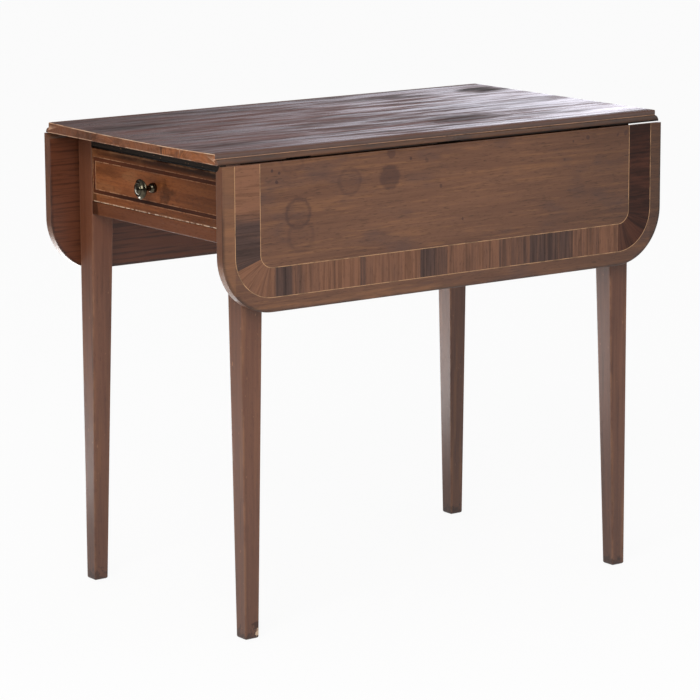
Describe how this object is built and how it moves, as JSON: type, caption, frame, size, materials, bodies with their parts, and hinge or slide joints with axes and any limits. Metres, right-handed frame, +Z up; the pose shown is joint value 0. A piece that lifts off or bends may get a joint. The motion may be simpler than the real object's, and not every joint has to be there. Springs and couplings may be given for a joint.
{
  "type": "pembroke table",
  "caption": "Antique pembroke table on square tapered legs, with drop leaves on rule joints, crossbanded and line-inlaid leaf faces, and an end drawer with a turned knob.",
  "frame": {"origin": "on the floor, below the centre of the table", "axes": "+X along the leaves, away from the drawer end; +Y across the table, towards the far leaf; +Z up"},
  "size_m": [0.816, 0.482, 0.715],
  "materials": {
    "top_mahogany": "old french-polished mahogany, worn",
    "leaf_mahogany": "faded mahogany, waxed",
    "crossband_veneer": "cross-cut mahogany and rosewood veneer, waxed",
    "boxwood_line": "boxwood line, waxed",
    "dark_line": "stained line, waxed",
    "drawer_mahogany": "figured mahogany veneer, waxed",
    "frame_mahogany": "mahogany, waxed and rubbed",
    "drawer_oak": "unfinished oak, darkened",
    "carcass_wood": "beech and pine, stained and dusty",
    "hinge_iron": "wrought iron, darkened",
    "knob_bronze": "turned brass, blackened with age",
    "bolt_steel": "plain steel"
  },
  "bodies": {
    "frame": {"back_rail": "frame_mahogany", "drawer_kicker_far": "carcass_wood", "drawer_kicker_near": "carcass_wood", "drawer_lower_rail": "frame_mahogany", "drawer_runner_far": "carcass_wood", "drawer_runner_near": "carcass_wood", "drawer_stops": "carcass_wood", "drawer_upper_rail": "frame_mahogany", "fly_bracket_far": "carcass_wood", "fly_bracket_near": "carcass_wood", "fly_end_block_far": "carcass_wood", "fly_end_block_near": "carcass_wood", "fly_pin_far": "hinge_iron", "fly_pin_near": "hinge_iron", "fly_rail_far": "carcass_wood", "fly_rail_near": "carcass_wood", "glue_blocks": "carcass_wood", "hinge_pins_far": "hinge_iron", "hinge_pins_near": "hinge_iron", "hinge_top_flaps_far": "hinge_iron", "hinge_top_flaps_near": "hinge_iron", "hinge_top_screws_far": "hinge_iron", "hinge_top_screws_near": "hinge_iron", "leg_back_far": "frame_mahogany", "leg_back_near": "frame_mahogany", "leg_drawer_far": "frame_mahogany", "leg_drawer_near": "frame_mahogany", "side_rail_far": "carcass_wood", "side_rail_near": "carcass_wood", "top_narrow_board": "top_mahogany", "top_screws": "hinge_iron", "top_wide_board": "top_mahogany"},
    "drawer": {"drawer_back": "drawer_oak", "drawer_bottom": "drawer_oak", "drawer_dark_line": "dark_line", "drawer_front": "drawer_mahogany", "drawer_knob": "knob_bronze", "drawer_light_lines": "boxwood_line", "drawer_side_far": "drawer_oak", "drawer_side_near": "drawer_oak", "knob_bolt": "bolt_steel", "knob_collar": "knob_bronze", "knob_nut": "bolt_steel"},
    "far_leaf": {"hinge_leaf_flaps_far": "hinge_iron", "hinge_leaf_screws_far": "hinge_iron", "leaf_board_far": "leaf_mahogany", "leaf_crossband_far": "crossband_veneer", "leaf_stringing_far": "boxwood_line"},
    "near_leaf": {"hinge_leaf_flaps_near": "hinge_iron", "hinge_leaf_screws_near": "hinge_iron", "leaf_board_near": "leaf_mahogany", "leaf_crossband_near": "crossband_veneer", "leaf_stringing_near": "boxwood_line"}
  },
  "joints": [
    {"name": "near_leaf_fold", "type": "hinge", "parent": "frame", "child": "near_leaf", "pos_m": [0, -0.225, 0.699], "axis": [-1, 0, 0], "range_deg": [0, 90]},
    {"name": "far_leaf_fold", "type": "hinge", "parent": "frame", "child": "far_leaf", "pos_m": [0, 0.225, 0.699], "axis": [1, 0, 0], "range_deg": [0, 90]},
    {"name": "drawer_slide", "type": "slide", "parent": "frame", "child": "drawer", "axis": [-1, 0, 0], "range_m": [0, 0.32]}
  ]
}
